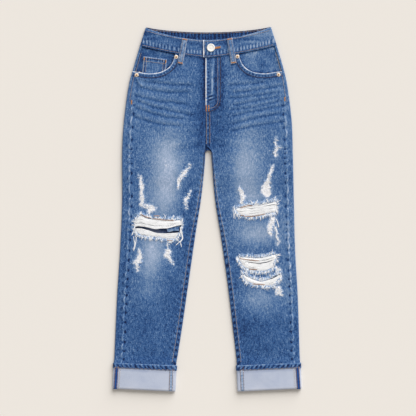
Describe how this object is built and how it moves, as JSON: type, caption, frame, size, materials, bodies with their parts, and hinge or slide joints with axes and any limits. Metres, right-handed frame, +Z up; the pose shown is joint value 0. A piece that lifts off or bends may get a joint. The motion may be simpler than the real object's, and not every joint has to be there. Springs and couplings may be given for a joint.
{
  "type": "ripped jeans",
  "caption": "High-rise straight-leg jeans laid flat, front up, with ripped knees showing bare weft, a closed fly and turned-up cuffs.",
  "frame": {"origin": "centre of the overall box, on the surface the jeans lie on", "axes": "+Y from the cuffs to the waistband, +X to the wearer's left, +Z up out of the front"},
  "size_m": [0.4922, 0.9474, 0.0129],
  "materials": {
    "denim": "washed and faded medium-blue denim with roped seams",
    "denim_inside": "pale wrong side of the denim, on the turn-ups",
    "weft": "bare white weft threads",
    "thread": "tobacco-brown and orange sewing thread",
    "zip_tape": "woven zip tape with its closed chain",
    "button_metal": "worn silver-white metal",
    "rivet_metal": "worn copper-coloured metal"
  },
  "bodies": {
    "root": {"front_right": "denim", "front_left": "denim", "yoke_right": "denim", "yoke_left": "denim", "back_right": "denim", "back_left": "denim", "waistband": "denim", "pocket_facing_right": "denim", "pocket_facing_left": "denim", "coin_pocket": "denim", "back_pocket_right": "denim", "back_pocket_left": "denim", "belt_loop_front_right": "denim", "belt_loop_front_left": "denim", "belt_loop_back_right": "denim", "belt_loop_back_centre": "denim", "belt_loop_back_left": "denim", "hem_right": "denim", "hem_left": "denim", "cuff_right": "denim_inside", "cuff_left": "denim_inside", "weft_right_knee": "weft", "weft_left_thigh": "weft", "weft_left_knee_upper": "weft", "weft_left_knee_lower": "weft", "zip": "zip_tape", "button": "button_metal", "rivet_top_right": "rivet_metal", "rivet_top_left": "rivet_metal", "rivet_side_right": "rivet_metal", "rivet_side_left": "rivet_metal"}
  },
  "joints": []
}
